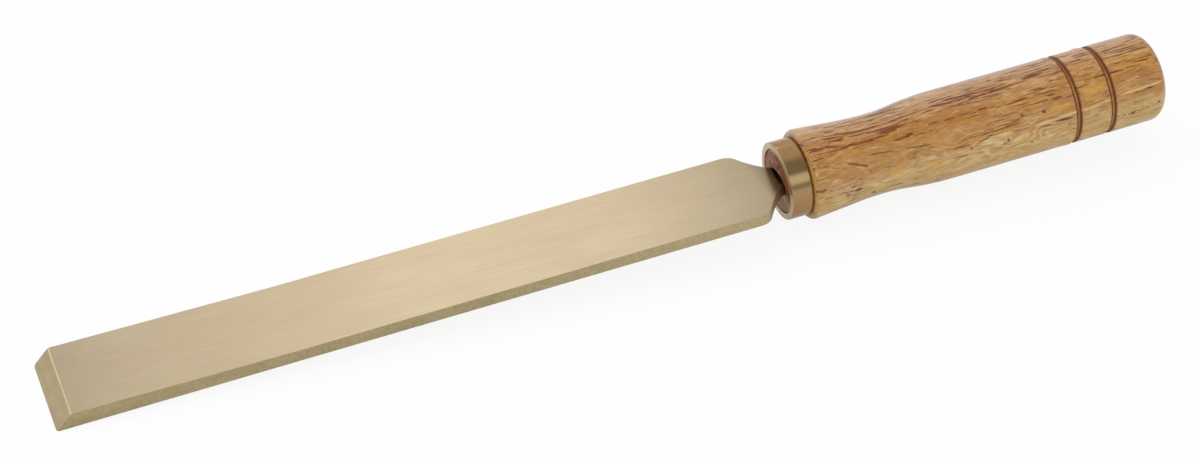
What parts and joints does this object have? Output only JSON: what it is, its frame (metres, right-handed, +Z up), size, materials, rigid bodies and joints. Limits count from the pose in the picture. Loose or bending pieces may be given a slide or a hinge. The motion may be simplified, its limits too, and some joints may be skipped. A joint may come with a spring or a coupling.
{
  "type": "non-sparking scraper",
  "caption": "Flat bronze scraper blade with a bevelled tip, its tang set through a short ferrule into a turned, varnished wooden handle with burnt rings.",
  "frame": {"origin": "middle of the bounding box, on the surface that the tool lies on", "axes": "+X along the tool from the blade's tip to the rear of the handle, +Z up, the blade's ground face upwards; the tool's own axis rises 2.97 degrees towards the rear, because it rests on its tip edge and on the handle's front lip"},
  "size_m": [0.3238, 0.03, 0.0311],
  "materials": {
    "bronze_blade": "pale aluminium bronze, top ground lengthwise, sides as cast",
    "bronze_ferrule": "satin, turned",
    "varnished_wood": "clear gloss varnish over open-pored hardwood, rings burnt dark"
  },
  "bodies": {
    "root": {"blade": "bronze_blade", "ferrule": "bronze_ferrule", "handle": "varnished_wood"}
  },
  "joints": []
}
